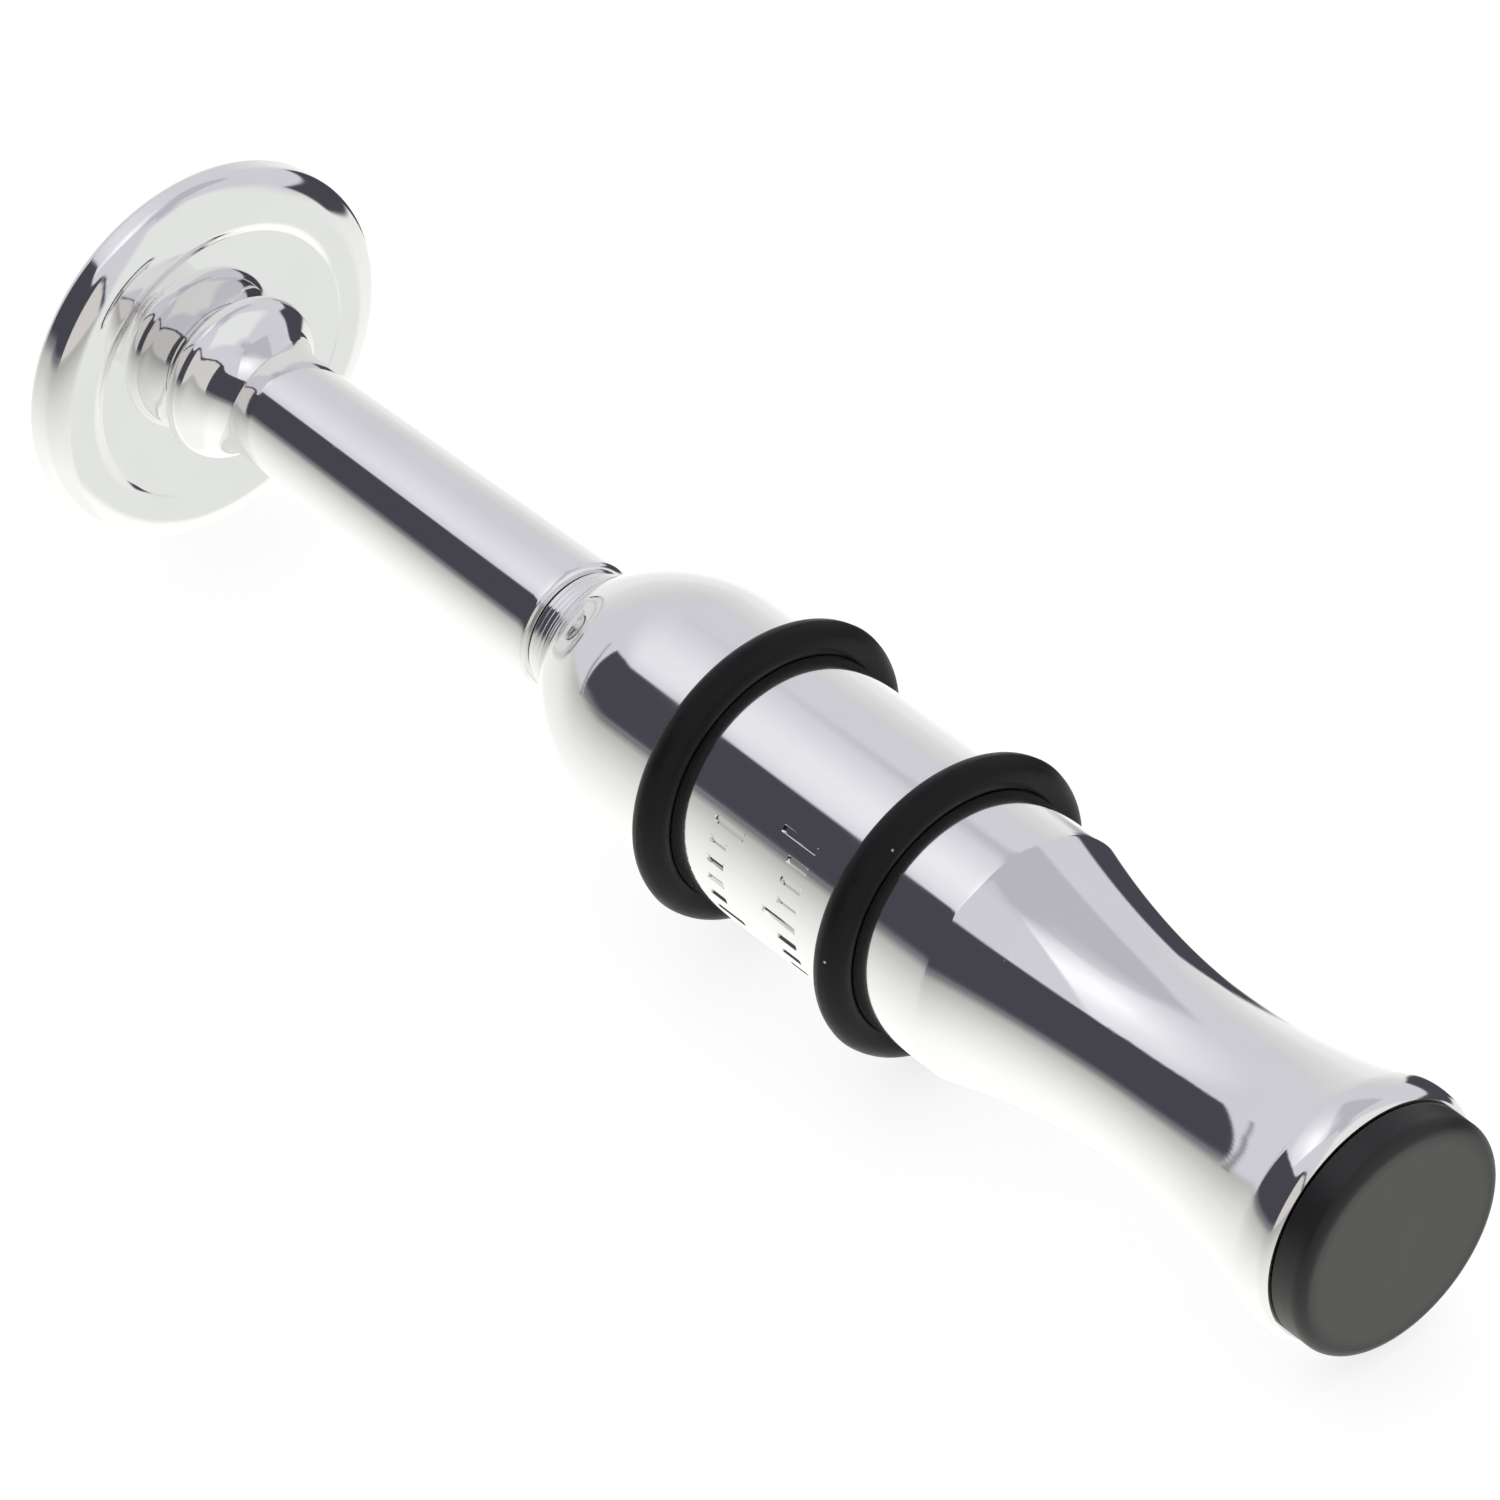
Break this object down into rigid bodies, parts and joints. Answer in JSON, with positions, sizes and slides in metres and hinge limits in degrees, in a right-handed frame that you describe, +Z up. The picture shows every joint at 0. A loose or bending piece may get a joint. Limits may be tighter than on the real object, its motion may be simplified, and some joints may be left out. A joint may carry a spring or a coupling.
{
  "type": "grunt tube call",
  "caption": "Polished metal tube call: flanged bell on a sliding tapered stem, round-nosed barrel with rubber grip rings, waisted mouthpiece holding a reed, black dust plug.",
  "frame": {"origin": "middle of the object's bounding box, on the surface it lies on", "axes": "+X along the turning axis from the bell to the dust plug, +Z up; the bell's rim touches z = 0"},
  "size_m": [0.127, 0.03, 0.0299],
  "materials": {
    "polished_metal": "mirror polished, turned",
    "brass": "bright drawn",
    "spring_steel": "satin",
    "grip_rubber": "satin nitrile",
    "seal_rubber": "greased nitrile",
    "plug_plastic": "matte face, satin edge",
    "holder_plastic": "turned acetal",
    "board_plastic": "smooth amber acrylic",
    "reed_film": "smooth polyester film",
    "cork": "cut cork"
  },
  "bodies": {
    "barrel_body": {"barrel": "polished_metal", "gland_nut": "polished_metal", "gland_seal": "seal_rubber", "gland_bush": "brass", "grip_ring_front": "grip_rubber", "grip_ring_rear": "grip_rubber"},
    "collar_body": {"stop_collar": "holder_plastic", "slide_o_ring": "seal_rubber"},
    "stem_body": {"bell_disc": "polished_metal", "stem_tube": "polished_metal", "slide_tube": "polished_metal", "inner_clip": "spring_steel", "outer_clip": "spring_steel"},
    "mouthpiece_body": {"mouthpiece": "polished_metal", "joint_seal": "seal_rubber", "reed_holder": "holder_plastic", "holder_seal_inner": "seal_rubber", "holder_seal_outer": "seal_rubber", "tone_board": "board_plastic", "reed_wedge": "cork"},
    "reed_body": {"reed": "reed_film"},
    "tuning_band_body": {"tuning_band": "seal_rubber"},
    "plug_body": {"dust_plug": "plug_plastic", "plug_seal": "seal_rubber"}
  },
  "joints": [
    {"name": "stem_slide", "type": "slide", "parent": "barrel_body", "child": "collar_body", "axis": [-1, 0, 0], "range_m": [0, 0.0132]},
    {"name": "stem_spin", "type": "hinge", "parent": "collar_body", "child": "stem_body", "pos_m": [0, 0, 0.01497], "axis": [1, 0, 0], "continuous": true},
    {"name": "mouthpiece_pull", "type": "slide", "parent": "barrel_body", "child": "mouthpiece_body", "axis": [1, 0, 0], "range_m": [0, 0.0042]},
    {"name": "plug_pull", "type": "slide", "parent": "mouthpiece_body", "child": "plug_body", "axis": [1, 0, 0], "range_m": [0, 0.0078]},
    {"name": "tuning_band_slide", "type": "slide", "parent": "mouthpiece_body", "child": "tuning_band_body", "axis": [1, 0, 0], "range_m": [-0.0018, 0.0035]},
    {"name": "reed_flex", "type": "hinge", "parent": "mouthpiece_body", "child": "reed_body", "pos_m": [0.0345, 0, 0.01567], "axis": [0, 1, 0], "range_deg": [-1.5, 2], "stiffness_Nm_per_rad": 0.002}
  ]
}
